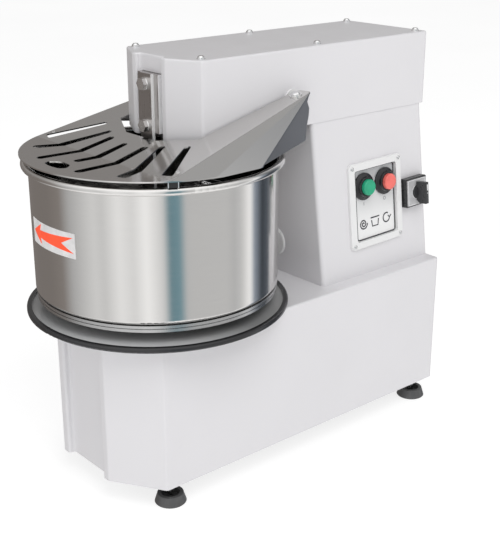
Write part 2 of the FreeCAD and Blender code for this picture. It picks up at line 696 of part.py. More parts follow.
def sprocket(label, teeth, bore, chain_height, y):
    """A chain wheel: a disc with a roller seat pocketed at each pitch."""
    thick = 6.0
    body = new_body(label)
    disc = new_sketch(body, "XY_Plane")
    draw_circle(disc, pitch_radius(teeth) + d.chain_pitch * 0.28)
    draw_circle(disc, bore)
    add(body, "Pad", disc, thick)
    seat = new_sketch(body, "XY_Plane", thick)
    draw_circle(seat, d.chain_pitch * 0.33, pitch_radius(teeth), 0.0)
    seat_cut = add(body, "Pocket", seat, thick)
    pattern = body.newObject("PartDesign::PolarPattern", f"{label}_teeth")
    pattern.Originals = [seat_cut]
    pattern.Axis = ([f for f in body.Origin.OriginFeatures if f.Role == "Z_Axis"][0], [""])
    pattern.Angle = 360.0
    pattern.Occurrences = teeth
    body.Tip = pattern
    return keep(place(body, y=y, z=chain_height - thick / 2))


SPIRAL_TEETH, DRIVE_TOP_TEETH, DRIVE_FOOT_TEETH, BOWL_TEETH = 17, 17, 11, 58
sprocket("spiral_sprocket", SPIRAL_TEETH, d.spiral_shaft_radius, d.spiral_chain_z, d.spiral_y)
sprocket("drive_sprocket_upper", DRIVE_TOP_TEETH, d.drive_shaft_radius, d.spiral_chain_z,
         d.drive_y)
sprocket("drive_sprocket_lower", DRIVE_FOOT_TEETH, d.drive_shaft_radius, d.bowl_chain_z,
         d.drive_y)
sprocket("bowl_sprocket", BOWL_TEETH, d.bowl_shaft_radius, d.bowl_chain_z, 0.0)


def loop_face(radius_a, y_a, radius_b, y_b):
    """The area inside a loop pulled tight round two circles on the Y axis."""
    lean = math.asin((radius_a - radius_b) / (y_b - y_a))
    corners = {}
    for side in (-1, 1):
        out = Vector(side * math.cos(lean), math.sin(lean), 0)
        corners[side] = (Vector(0, y_a, 0) + out * radius_a, Vector(0, y_b, 0) + out * radius_b)
    front = Part.Arc(corners[-1][0], Vector(0, y_a - radius_a, 0), corners[1][0])
    back = Part.Arc(corners[1][1], Vector(0, y_b + radius_b, 0), corners[-1][1])
    return Part.Face(Part.Wire([
        front.toShape(), Part.LineSegment(*corners[1]).toShape(), back.toShape(),
        Part.LineSegment(corners[-1][1], corners[-1][0]).toShape()]))


def chain(label, teeth_a, y_a, teeth_b, y_b, height):
    """A roller chain as a plain band that runs just clear of the sprockets' teeth."""
    clear, thick, wide = 0.28 * d.chain_pitch.value + 0.4, 6.0, 7.0
    radii = [pitch_radius(teeth).value + clear for teeth in (teeth_a, teeth_b)]
    inner = loop_face(radii[0], y_a.value, radii[1], y_b.value)
    outer = loop_face(radii[0] + thick, y_a.value, radii[1] + thick, y_b.value)
    band = outer.cut(inner).extrude(Vector(0, 0, wide))
    return keep(place(feature(label, band), z=height - wide / 2))


chain("spiral_chain", SPIRAL_TEETH, d.spiral_y, DRIVE_TOP_TEETH, d.drive_y, d.spiral_chain_z)
chain("bowl_chain", BOWL_TEETH, ZERO, DRIVE_FOOT_TEETH, d.drive_y, d.bowl_chain_z)

chassis_top = d.base_bottom + d.chassis_thickness
keep(place(cylinder("drive_shaft", d.drive_shaft_radius, chassis_top + 3,
                    d.spiral_chain_z + 10), y=d.drive_y, z=chassis_top + 3))
drive_bore = d.drive_shaft_radius + d.running_gap
keep(place(grouped("drive_shaft_bearings", [
    ring("drive_bearing_low", drive_bore, 38.0, chassis_top, chassis_top + 20),
    ring("drive_bearing_high", drive_bore, 36.0, plate_top, plate_top + 20)]), y=d.drive_y))

gearbox_bottom = 338.0
gearbox_housing = cut("gearbox_housing", joined("gearbox_blank", [
    box("gearbox_case", d.post_size / 2 - d.post_x, d.post_x - d.post_size / 2,
        d.post_front_y, d.post_rear_y, gearbox_bottom, 410.0),
    cylinder("gearbox_boss", 30.0, gearbox_bottom - 10, 420.0, 0.0, d.drive_y)]),
    cylinder("gearbox_bore", d.drive_shaft_radius + 0.5, 300.0, 450.0, 0.0, d.drive_y))
keep(place(gearbox_housing))

fins = []
for i in range(16):
    low = 128.0 + 12 * i
    fins += [(d.motor_radius, low), (d.motor_radius, low + 5), (d.motor_radius - 6, low + 5),
             (d.motor_radius - 6, low + 12)]
keep(place(turned("motor", [(0.0, 108.0), (d.motor_radius - 6, 108.0),
                            (d.motor_radius - 6, 128.0)] + fins
                  + [(d.motor_radius, 320.0), (d.motor_radius, gearbox_bottom),
                     (0.0, gearbox_bottom)]), y=d.motor_y))

# ---------------------------------------------------------------- bowl and its bearings
bowl = new_body("bowl")
bowl_wall = new_sketch(bowl, "XZ_Plane")
inner_radius, rim_middle = d.bowl_radius - d.bowl_wall, d.rim_top - d.rim_bead
draw_polygon(bowl_wall, [
    (0.0, d.bowl_floor), (d.bowl_radius, d.bowl_floor), (d.bowl_radius, rim_middle),
    (inner_radius, rim_middle), (inner_radius, d.bowl_floor + d.bowl_wall),
    (0.0, d.bowl_floor + d.bowl_wall)])
revolve(bowl, bowl_wall)
for radius, height in ((d.bowl_corner, d.bowl_floor),
                       (d.bowl_corner - d.bowl_wall, d.bowl_floor + d.bowl_wall)):
    round_edges(bowl, radius, lambda e: abs(e.BoundBox.ZMax - height.value) < 0.01
                and e.BoundBox.ZLength < 0.01 and e.BoundBox.XLength > 300)
bead = new_sketch(bowl, "XZ_Plane")
draw_circle(bead, d.rim_bead, d.rim_radius - d.rim_bead, rim_middle)
revolve(bowl, bead)
keep(place(bowl))

keep(place(turned("bowl_turntable", [
    (0.0, d.turntable_bottom), (d.turntable_radius - 0.5, d.turntable_bottom),
    (d.turntable_radius - 0.5, d.turntable_bottom + 4.2),
    (d.turntable_radius - 4, d.turntable_bottom + 4.2),
    (d.turntable_radius - 4, d.turntable_bottom + 5.5),
    (d.turntable_radius, d.turntable_bottom + 5.5), (d.turntable_radius, d.bowl_floor),
    (0.0, d.bowl_floor)])))
keep(place(turned("bowl_shaft", [
    (0.0, d.bowl_chain_z - 12), (d.bowl_shaft_radius, d.bowl_chain_z - 12),
    (d.bowl_shaft_radius, d.turntable_bottom - 6.5), (60.0, d.turntable_bottom - 6.5),
    (60.0, d.turntable_bottom), (0.0, d.turntable_bottom)])))
keep(place(turned("bowl_bearing_housing", [
    (40.0, 168.0), (44.5, 168.0), (44.5, bridge_top), (70.0, bridge_top),
    (70.0, bridge_top + 8), (44.5, bridge_top + 8), (44.5, bridge_top + 21.5),
    (40.0, bridge_top + 21.5)])))
bowl_bore = d.bowl_shaft_radius + d.running_gap
keep(place(grouped("bowl_bearings", [
    ring("bowl_bearing_low", bowl_bore, 40.0, 173.0, 191.0),
    ring("bowl_bearing_high", bowl_bore, 40.0, 258.0, 276.0)])))

label_arc = 34.5
arrow_sheet = doc.addObject("Part::Cylinder", "arrow_sheet")
arrow_core = doc.addObject("Part::Cylinder", "arrow_core")
for sheet_part, radius in ((arrow_sheet, d.bowl_radius + 0.4), (arrow_core, d.bowl_radius)):
    bind(sheet_part, "Radius", radius)
    sheet_part.Height, sheet_part.Angle = 35.5, label_arc
bowl_arrow_label = cut("bowl_arrow_label", arrow_sheet, arrow_core)
keep(place(bowl_arrow_label, z=387.8,
           rotation=Rotation(Vector(0, 0, 1), -90 - label_arc / 2)))

drip_ring = turned("drip_ring", [
    (46.0, d.ring_top - 6), (100.0, d.ring_top - 6), (100.0, d.base_top), (104.0, d.base_top),
    (104.0, d.ring_top - 6), (d.ring_radius - d.ring_lip, d.ring_top - 6),
    (d.ring_radius - d.ring_lip, d.ring_top - 8), (d.ring_radius, d.ring_top - 8),
    (d.ring_radius, d.ring_top), (d.ring_radius - d.ring_lip, d.ring_top),
    (d.ring_radius - d.ring_lip, d.ring_top - 3), (46.0, d.ring_top - 3)])
round_edges(drip_ring, 2.8, lambda e: abs(e.BoundBox.XLength / 2 - d.ring_radius.value) < 0.1)
keep(place(drip_ring))

# ---------------------------------------------------------------- lid
tip_z = d.lid_level + d.lid_slope * (d.lid_tip_y - d.lid_bend_y)


def rim_point(y):
    """Where the lid's round outline passes a given depth, on the right-hand side."""
    return Vector(math.sqrt(d.lid_radius.value ** 2 - y.value ** 2), y.value, d.lid_level.value)


def beyond(start, end, reach=42.0):
    """A point past end on the line from start, for trimming back to the round outline."""
    return end + (end - start).normalize() * reach


def tilted_height(y):
    return d.lid_level.value + d.lid_slope.value * (y - d.lid_bend_y.value)


def lid_blank():
    """Folded sheet: flat front, tilted top, two side facets and a back panel on each side."""
    apex, fold, corner = (rim_point(y) for y in (d.lid_bend_y, d.lid_fold_y, d.lid_corner_y))
    tip = Vector(d.lid_tip_x.value, d.lid_tip_y.value, tip_z.value)
    back = Vector(d.lid_back_x.value, d.lid_back_y.value, d.lid_back_z.value)
    down = Vector(0, 0, -d.sheet_steel.value)
    wide, level = 210.0, d.lid_level.value
    flat = [Vector(x, y, level) for x, y in ((-wide, -wide), (wide, -wide),
                                             (wide, apex.y), (-wide, apex.y))]
    arm = d.lid_inner_half.value
    right = [(apex.x, apex.y), (tip.x, tip.y), (115.3, 196.4), (98.7, 194.3), (arm, 190.0),
             (arm, 122.0), (arm + 3, 120.0), (arm + 3, 114.0), (arm, 112.0),
             (arm, d.lid_cut_side_y.value), (d.lid_cut_front_half.value, d.lid_cut_front_y.value)]
    outline = right + [(-x, y) for x, y in reversed(right)]
    tilted = [Vector(x, y, tilted_height(y)) for x, y in outline]
    side_front = [beyond(tip, apex), tip, beyond(tip, fold)]
    side_rear = [beyond(tip, fold), tip, beyond(tip, corner), corner]
    outward = (back - corner).cross(tip - corner).normalize()
    rear_edge = [(119.8, 189.0, 564.0), (109.3, 203.3, 551.0), (104.9, 207.0, 539.0),
                 (102.6, 206.5, 526.0)]
    panel = [corner, tip] + [p - outward * ((p - corner) * outward)
                             for p in (Vector(*xyz) for xyz in rear_edge)] + [back]
    sides = [(side_front, down), ([side_rear[0], tip, corner, side_rear[2]], down),
             (panel, outward * (-d.sheet_steel.value if outward.x > 0 else d.sheet_steel.value))]
    slabs = [Part.Face(Part.makePolygon(ring_ + ring_[:1])).extrude(lift)
             for ring_, lift in [(flat, down), (tilted, down)] + sides]
    slabs += [mirrored_x(slab) for slab in slabs[2:]]
    sheet_metal = slabs[0].fuse(slabs[1:])
    trim = Part.makeCylinder(d.lid_radius.value, 200, Vector(0, 0, level) + down).fuse(
        Part.makeBox(2 * wide, wide, 200, Vector(-wide, d.lid_corner_y.value, 440)))
    return sheet_metal.common(trim)


def opening(corners):
    """A tool that cuts straight through the lid, its corners rounded."""
    points = [Vector(x, y, 440) for x, y in corners]
    middle = (points[-1] + points[0]) * 0.5
    return Part.Face(rounded_path([middle] + points + [middle])).extrude(Vector(0, 0, 200))


centre_slot = opening([(-7, -92), (-6.5, -133), (6.5, -133), (7, -92), (5, -47), (-5, -47)])
side_slots = [opening(corners) for corners in (
    [(51.5, -94), (46, -40), (34.5, -43), (38.5, -92), (42.5, -164), (56, -161)],
    [(101.5, -90), (66.5, -27), (58.5, -32), (86, -92), (102, -136), (118, -131)],
    [(157, -84), (102.5, -10.5), (95, -16), (140, -90)])]
finger_hole = opening([(-24, -160), (-13, -147), (13, -147), (24, -160), (19, -169), (0, -172),
                       (-19, -169)])
lid_tilt = Rotation(Vector(1, 0, 0), math.degrees(math.atan(d.lid_slope.value)))
lid_screw_y, lid_screw_x = 177.5, 107.0
lid_screw_places = [Placement(Vector(side * lid_screw_x, lid_screw_y, tilted_height(lid_screw_y)),
                              lid_tilt) for side in (-1, 1)]
screw_holes = [Part.makeCylinder(3.2, 40, Vector(0, 0, -20)).transformed(p.toMatrix())
               for p in lid_screw_places]
lid_shape = lid_blank().cut([centre_slot, finger_hole] + side_slots
                            + [mirrored_x(slot) for slot in side_slots] + screw_holes)
assert len(lid_shape.Solids) == 1, "the lid's facets don't meet"
lid_cover = keep(place(feature("lid_cover", lid_shape.removeSplitter())))

# arms under the lid's two ears, with the shaft that they turn on
lid_arm = new_body("lid_arm")
arm_side = new_sketch(lid_arm, "YZ_Plane", 95.0)


def under_tilt(y, drop=0.0):
    return (y, d.lid_level - d.sheet_steel + d.lid_slope * (y - d.lid_bend_y) - drop)


draw_polygon(arm_side, [under_tilt(126.0), under_tilt(190.0), (194.0, d.hinge_z),
                        (191.0, d.hinge_z - 9), (181.0, d.hinge_z - 9),
                        under_tilt(150.0, 11.0), under_tilt(126.0, 6.0)])
add(lid_arm, "Pad", arm_side, 5.0)
arm_foot = new_sketch(lid_arm, "YZ_Plane", 100.0)
draw_polygon(arm_foot, [under_tilt(163.0), under_tilt(190.0), under_tilt(190.0, 3.0),
                        under_tilt(163.0, 3.0)])
add(lid_arm, "Pad", arm_foot, 14.0)
arm_bore = new_sketch(lid_arm, "YZ_Plane", 95.0)
draw_circle(arm_bore, d.hinge_radius, d.hinge_y, d.hinge_z)
add(lid_arm, "Pocket", arm_bore, 5.0, reverse=True)
arm_shape = lid_arm.Shape.cut(screw_holes[1])
keep(place(feature("lid_hinge_arms", Part.makeCompound([arm_shape, mirrored_x(arm_shape)]))))

lid_hinge_shaft = turned("lid_hinge_shaft", [
    (0.0, -104.0), (d.hinge_radius, -104.0), (d.hinge_radius, 60.0), (12.0, 60.0), (12.0, 66.0),
    (d.hinge_radius, 66.0), (d.hinge_radius, 104.0), (0.0, 104.0)])
keep(place(lid_hinge_shaft, y=d.hinge_y, z=d.hinge_z, rotation=Rotation(Vector(0, 1, 0), 90)))

lid_screw = turned("lid_screw", [
    (0.0, -8.0), (3.0, -8.0), (3.0, 0.0), (9.5, 0.0), (9.5, 1.4), (7.0, 1.4), (7.0, 3.0),
    (5.6, 4.8), (0.0, 5.4)])
keep(place(copies("lid_screws", lid_screw, lid_screw_places)))


def hung_under_lid(label, blocks):
    """Blocks drawn at the front of the rim, cut to the lid's underside on both sides."""
    hung = []
    for block in blocks:
        for side in (-1, 1):
            turned_block = block.copy()
            turned_block.rotate(Vector(), Vector(0, 0, 1), side * 61.5)
            pieces = turned_block.cut(lid_shape).Solids
            hung.append(min(pieces, key=lambda piece: piece.CenterOfMass.z))
    return hung


gap_bottom = d.rim_top.value + 0.7
rubber_block = Part.makeBox(12, 7, 20, Vector(-6, -190, gap_bottom))
clips = [Part.makeBox(1.2, 8, 20, Vector(x, -190.5, gap_bottom)) for x in (-7.2, 6.0)]
keep(place(feature("lid_bumpers", Part.makeCompound(hung_under_lid("bumper", [rubber_block])))))
rivet = Part.makeCylinder(2.6, 1.2)
rivets = [rivet.transformed(Placement(Vector(side * 153.5, -73, tilted_height(-73)),
                                      lid_tilt).toMatrix()) for side in (-1, 1)]
keep(place(feature("lid_bumper_clips",
                   Part.makeCompound(hung_under_lid("clip", clips) + rivets))))

bushing = turned("hinge_bushing", [
    (d.hinge_radius + d.running_gap, -8.0), (11.0, -8.0), (11.0, 2.0), (15.0, 2.0),
    (15.0, 4.2), (d.hinge_radius + d.running_gap, 4.2)])
keep(place(copies("hinge_bushings", bushing, [
    Placement(Vector(side * (d.head_half_width - d.sheet_steel).value, 0, 0),
              Rotation(Vector(0, 1, 0), side * 90)) for side in (-1, 1)]),
    y=d.hinge_y, z=d.hinge_z))
keep(place(joined("lid_microswitch", [
    box("microswitch_case", 57.0, 69.0, 172.0, 200.0, plate_top, plate_top + 17),
    box("microswitch_lever", 60.0, 66.0, 182.0, 190.0, plate_top + 17, d.hinge_z - 12.4)])))

# ---------------------------------------------------------------- controls on the column
SIDE_LEAN = math.atan2((d.column_half_foot - d.column_half_top).value,
                       (d.head_bottom - d.base_top).value)
side_up = Vector(-math.sin(SIDE_LEAN), 0, math.cos(SIDE_LEAN))
side_out = Vector(math.cos(SIDE_LEAN), 0, math.sin(SIDE_LEAN))
side_turn = Rotation(Vector(0, 1, 0), side_up, side_out, "ZXY").multiply(
    Rotation(Vector(0, 0, 1), d.panel_lean.value))


def on_side(part, y, z, across=0.0, up=0.0):
    """Put a part, drawn flat with +Z outwards, on the column's right-hand side."""
    rise = (z - d.base_top) / (d.head_bottom - d.base_top)
    half = d.column_half_foot - (d.column_half_foot - d.column_half_top) * rise
    offset = side_turn.multVec(Vector(across, up, 0))
    return place(part, half + offset.x, y + offset.y, z + offset.z, side_turn)


control_bezel = new_body("control_bezel")
bezel_face = new_sketch(control_bezel, "XY_Plane")
half_wide, half_tall = d.bezel_width / 2, d.bezel_tall / 2
draw_rounded_rectangle(bezel_face, -half_wide, half_wide, -half_tall, half_tall, 8.0)
add(control_bezel, "Pad", bezel_face, d.bezel_depth)
round_edges(control_bezel, 2.0, lambda e: e.BoundBox.ZMin > d.bezel_depth.value - 0.01)
skirt = new_sketch(control_bezel, "XY_Plane")
draw_rectangle(skirt, -d.skirt_half, d.skirt_half, -59.7, 59.7)
add(control_bezel, "Pad", skirt, d.plate_recess, reverse=True)
bezel_window = new_sketch(control_bezel, "XY_Plane", d.bezel_depth)
draw_rounded_rectangle(bezel_window, d.bezel_frame - half_wide, half_wide - d.bezel_frame,
                       -58.5, 58.5, 4.0)
add(control_bezel, "Pocket", bezel_window, d.bezel_depth + d.plate_recess)
bezel_screw_spots = [(x, y) for x in (-53.5, 53.5) for y in (-63.5, 63.5)]
screw_bores = new_sketch(control_bezel, "XY_Plane", d.bezel_depth)
for x, y in bezel_screw_spots:
    draw_circle(screw_bores, 1.7, x, y)
add(control_bezel, "Pocket", screw_bores, d.bezel_depth)
keep(on_side(control_bezel, d.panel_y, d.panel_z))

button_half = d.button_pitch / 2
label_plate = new_body("label_plate")
label_face = new_sketch(label_plate, "XY_Plane", -d.plate_recess - 2)
draw_rectangle(label_face, -d.skirt_half, d.skirt_half, -59.7, 59.7)
for across in (-button_half, button_half):
    draw_circle(label_face, 16.0, across, d.button_up)
add(label_plate, "Pad", label_face, 2.0)
keep(on_side(label_plate, d.panel_y, d.panel_z))

bezel_screw = turned("bezel_screw", [(0.0, -d.bezel_depth), (1.7, -d.bezel_depth), (1.7, 0.0), (3.4, 0.0),
                                     (3.0, 1.2), (1.6, 2.0), (0.0, 2.0)])
keep(on_side(copies("bezel_screws", bezel_screw,
                    upright_at(*((x, y, d.bezel_depth) for x, y in bezel_screw_spots))),
             d.panel_y, d.panel_z))

button_spots = ((-button_half, d.button_up, 0.0), (button_half, d.button_up, 0.0))
collar = turned("button_collar", [
    (13.2, -22.0), (16.0, -22.0), (16.0, -d.plate_recess), (d.collar_radius, -d.plate_recess),
    (d.collar_radius, 2.0), (d.collar_radius - 1, 3.0), (17.0, 5.0), (16.0, 8.4), (15.2, 9.2),
    (13.2, 9.2)])
keep(on_side(copies("button_collars", collar, upright_at(*button_spots)), d.panel_y, d.panel_z))
for name, across in (("start_cap", -button_half), ("stop_cap", button_half)):
    cap = turned(name, [(0.0, -16.0), (6.0, -16.0), (6.0, -8.0), (d.cap_radius, -8.0),
                        (d.cap_radius, 14.0), (d.cap_radius - 1.4, 15.4), (0.0, 15.4)])
    keep(on_side(cap, d.panel_y, d.panel_z, across.value, d.button_up.value))
contact_block = box("contact_block", -14.0, 14.0, -17.0, 17.0, -40.0, -22.0)
keep(on_side(copies("contact_blocks", contact_block, upright_at(*button_spots)),
             d.panel_y, d.panel_z))

switch_half = d.switch_size / 2
switch_half_wide = switch_half + 1.5
rotary_switch_base = new_body("rotary_switch_base")
switch_face = new_sketch(rotary_switch_base, "XY_Plane")
draw_rounded_rectangle(switch_face, -switch_half_wide, switch_half_wide, -switch_half,
                       switch_half, 3.0)
add(rotary_switch_base, "Pad", switch_face, d.switch_depth)
round_edges(rotary_switch_base, 1.2, lambda e: e.BoundBox.ZMin > d.switch_depth.value - 0.01)
neck = new_sketch(rotary_switch_base, "XY_Plane")
draw_circle(neck, 11.6)
add(rotary_switch_base, "Pad", neck, d.sheet_steel + 0.4, reverse=True)
rear_block = new_sketch(rotary_switch_base, "XY_Plane", -d.sheet_steel - 0.4)
draw_rectangle(rear_block, -17.0, 17.0, -17.0, 17.0)
add(rotary_switch_base, "Pad", rear_block, 11.0, reverse=True)
stem_bore = new_sketch(rotary_switch_base, "XY_Plane", d.switch_depth)
draw_circle(stem_bore, 5.0 + d.running_gap)
add(rotary_switch_base, "Pocket", stem_bore, d.switch_depth + 8)
keep(on_side(rotary_switch_base, d.switch_y, d.switch_z))

rotary_switch_face = new_body("rotary_switch_face")
face_outline = new_sketch(rotary_switch_face, "XY_Plane", d.switch_depth)
inset = switch_half - 2.4
draw_rounded_rectangle(face_outline, 2.4 - switch_half_wide, switch_half_wide - 2.4, -inset,
                       inset, 1.5)
draw_circle(face_outline, 10.6)
add(rotary_switch_face, "Pad", face_outline, 1.2)
keep(on_side(rotary_switch_face, d.switch_y, d.switch_z))

knob = new_body("rotary_switch_knob")
boss = new_sketch(knob, "XY_Plane", d.switch_depth + 0.5)
draw_circle(boss, 9.6)
add(knob, "Pad", boss, 4.0)
lever = new_sketch(knob, "YZ_Plane", -3.4)
lever_foot, lever_out = d.switch_depth + 3.2, d.switch_depth + 24.0
draw_polygon(lever, [(-18.0, lever_foot + 5), (-13.0, lever_foot), (18.0, lever_foot),
                     (18.0, lever_out), (-18.0, lever_out)])
add(knob, "Pad", lever, 6.8)
round_edges(knob, 1.5, lambda e: abs(e.BoundBox.ZLength) < 0.01
            and e.BoundBox.ZMin > lever_out.value - 0.01)
stem = new_sketch(knob, "XY_Plane", d.switch_depth + 1)
draw_circle(stem, 5.0)
add(knob, "Pad", stem, d.switch_depth + 7, reverse=True)
keep(on_side(knob, d.switch_y, d.switch_z))

# ---------------------------------------------------------------- back cover, plug and gland
BACK_LEAN = math.atan2((d.column_rear_foot_y - d.column_rear_top_y).value,
                       (d.head_bottom - d.base_top).value)
back_turn = Rotation(Vector(-1, 0, 0), Vector(0, -math.sin(BACK_LEAN), math.cos(BACK_LEAN)),
                     Vector(0, math.cos(BACK_LEAN), math.sin(BACK_LEAN)), "ZXY")
cover_z = (d.base_top + d.head_bottom - 6) / 2
cover_rise = (cover_z - d.base_top) / (d.head_bottom - d.base_top)
cover_y = d.column_rear_foot_y - (d.column_rear_foot_y - d.column_rear_top_y) * cover_rise
rear_cover = new_body("rear_cover")
cover_face = new_sketch(rear_cover, "XY_Plane")
draw_rounded_rectangle(cover_face, -75.0, 75.0, -100.0, 100.0, 6.0)
for x in (-68.0, 68.0):
    for y in (-93.0, 93.0):
        draw_circle(cover_face, 2.0, x, y)
add(rear_cover, "Pad", cover_face, d.sheet_steel)
vents = new_sketch(rear_cover, "XY_Plane", d.sheet_steel)
for i in range(7):
    y = -54.0 + 18 * i
    for x0, x1 in ((-52.0, -4.0), (4.0, 52.0)):
        draw_rounded_rectangle(vents, x0, x1, y - 2.5, y + 2.5, 2.4)
add(rear_cover, "Pocket", vents, d.sheet_steel)
keep(place(rear_cover, y=cover_y, z=cover_z, rotation=back_turn))
cover_fixing = turned("cover_fixing", [(0.0, 0.0), (2.0, 0.0), (2.0, d.sheet_steel),
                                       (4.2, d.sheet_steel), (3.6, 3.8), (0.0, 4.4)])
keep(place(copies("rear_cover_screws", cover_fixing, upright_at(
    *((x, y, 0.0) for x in (-68.0, 68.0) for y in (-93.0, 93.0)))),
    y=cover_y, z=cover_z, rotation=back_turn))

FRONT_LEAN = math.atan2((d.column_front_foot_y - d.column_front_top_y).value,
                        (d.head_bottom - d.base_top).value)
front_turn = Rotation(Vector(1, 0, 0), Vector(0, -math.sin(FRONT_LEAN), math.cos(FRONT_LEAN)),
                      Vector(0, -math.cos(FRONT_LEAN), -math.sin(FRONT_LEAN)), "ZXY")
plug_rise = (d.plug_z - d.base_top) / (d.head_bottom - d.base_top)
plug_y = d.column_front_foot_y - (d.column_front_foot_y - d.column_front_top_y) * plug_rise
keep(place(turned("column_plug", [
    (0.0, -8.0), (d.plug_radius - 4.3, -8.0), (d.plug_radius - 4.3, 0.0), (d.plug_radius, 0.0),
    (d.plug_radius, 1.2), (d.plug_radius - 2, 2.6), (0.0, 3.6)]),
    y=plug_y, z=d.plug_z, rotation=front_turn))

keep(place(turned("cable_gland", [
    (4.0, -14.0), (9.8, -14.0), (9.8, 0.0), (14.0, 0.0), (14.0, 4.5), (12.5, 4.5), (12.5, 9.0),
    (8.0, d.gland_reach), (4.0, d.gland_reach)]),
    x=-80.0, y=d.base_rear_y, z=d.base_bottom + 45, rotation=Rotation(Vector(1, 0, 0), -90)))

# ---------------------------------------------------------------- feet
foot_spots = [(x, y, 0.0) for x in (-d.foot_x, d.foot_x)
              for y in (d.foot_front_y, d.foot_rear_y)]
foot_pad = turned("foot_pad", [
    (0.0, 0.0), (d.foot_radius - 1.2, 0.0), (d.foot_radius, 1.4), (d.foot_neck, d.foot_tall),
    (14.0, d.foot_tall), (14.0, 7.0), (0.0, 7.0)])
keep(place(copies("foot_pads", foot_pad, upright_at(*foot_spots))))
foot_stud = cylinder("foot_stud", d.stud_radius, 7.0, chassis_top + 12)
keep(place(copies("foot_studs", foot_stud, upright_at(*foot_spots))))
foot_nut = hexagon_prism("foot_nut", 17.0, 8.0, d.stud_radius)
nut_spots = [(x, y, z) for x, y, _ in foot_spots for z in (d.base_bottom - 8, chassis_top)]
keep(place(copies("foot_nuts", foot_nut, upright_at(*nut_spots))))

# ---------------------------------------------------------------- checks, then one file each
doc.recompute()
unwell = [thing.Label for thing in doc.Objects
          if {"Invalid", "Error"} & set(thing.State)]
assert not unwell, f"objects in error: {unwell}"
os.makedirs("parts", exist_ok=True)
for part in parts:
    shape = part.Shape
    assert not shape.isNull() and shape.isValid() and shape.Solids, part.Label
    shape.exportStep(f"parts/{part.Label}.step")
print(f"{len(parts)} sub-parts written")
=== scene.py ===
"""Looks of the spiral dough mixer: materials, printed and pressed detail, studio and camera.

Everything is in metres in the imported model's frame: +Z up, the bowl towards -Y, and the
controls on the +X side. Outlines that are drawn on the machine are in millimetres.
"""

import json
import math

import bmesh
import bpy
from mathutils import Matrix, Vector


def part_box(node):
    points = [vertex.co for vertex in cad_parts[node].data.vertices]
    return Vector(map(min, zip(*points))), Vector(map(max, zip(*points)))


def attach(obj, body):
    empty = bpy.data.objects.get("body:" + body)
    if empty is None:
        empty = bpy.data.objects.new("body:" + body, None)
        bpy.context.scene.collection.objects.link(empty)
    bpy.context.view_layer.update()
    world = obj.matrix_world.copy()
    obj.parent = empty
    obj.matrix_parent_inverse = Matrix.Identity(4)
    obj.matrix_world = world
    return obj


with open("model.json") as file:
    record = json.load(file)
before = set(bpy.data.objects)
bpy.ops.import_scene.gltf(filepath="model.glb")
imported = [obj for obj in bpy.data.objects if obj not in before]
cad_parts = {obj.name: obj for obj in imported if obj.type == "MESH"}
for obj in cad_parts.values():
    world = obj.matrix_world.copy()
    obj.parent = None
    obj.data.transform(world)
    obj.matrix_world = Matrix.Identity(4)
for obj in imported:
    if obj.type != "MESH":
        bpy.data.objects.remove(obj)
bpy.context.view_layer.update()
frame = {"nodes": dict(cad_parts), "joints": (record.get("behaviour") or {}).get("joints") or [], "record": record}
nodes = frame["nodes"]
MM = 0.001
BOWL_AXIS_Y = next(j["pos_m"][1] for j in frame["joints"] if j["name"] == "bowl_spin")
BOWL_RADIUS = 0.180

# tints, each a factor on red, green and blue
PLAIN = (1.0, 1.0, 1.0)
WARM = (1.0, 0.985, 0.965)
COOL = (0.99, 1.0, 1.01)

# ---------------------------------------------------------------- camera
CAMERA_PLACE = (1.2287, -1.0311, 0.8700)
CAMERA_DIRECTION = (-0.7109, 0.6136, -0.3437)


def pointed(name, data, place, direction):
    """A camera or lamp that looks along a direction."""
    made = bpy.data.objects.new(name, data)
    made.location = place
    made.rotation_mode = "QUATERNION"
    made.rotation_quaternion = Vector(direction).to_track_quat("-Z", "Y")
    bpy.context.scene.collection.objects.link(made)
    return made


camera_data = bpy.data.cameras.new("camera")
camera_data.sensor_width = 36.0
camera_data.lens = 71.8
camera_data.clip_start, camera_data.clip_end = 0.05, 60.0
camera = pointed("camera", camera_data, CAMERA_PLACE, CAMERA_DIRECTION)
bpy.context.scene.camera = camera

# ---------------------------------------------------------------- node trees
NOISE_LOW, NOISE_HIGH = 0.3, 0.7  # nearly all of a noise texture lies between these


def gray(value, tint=PLAIN):
    return tuple(value * t for t in tint)


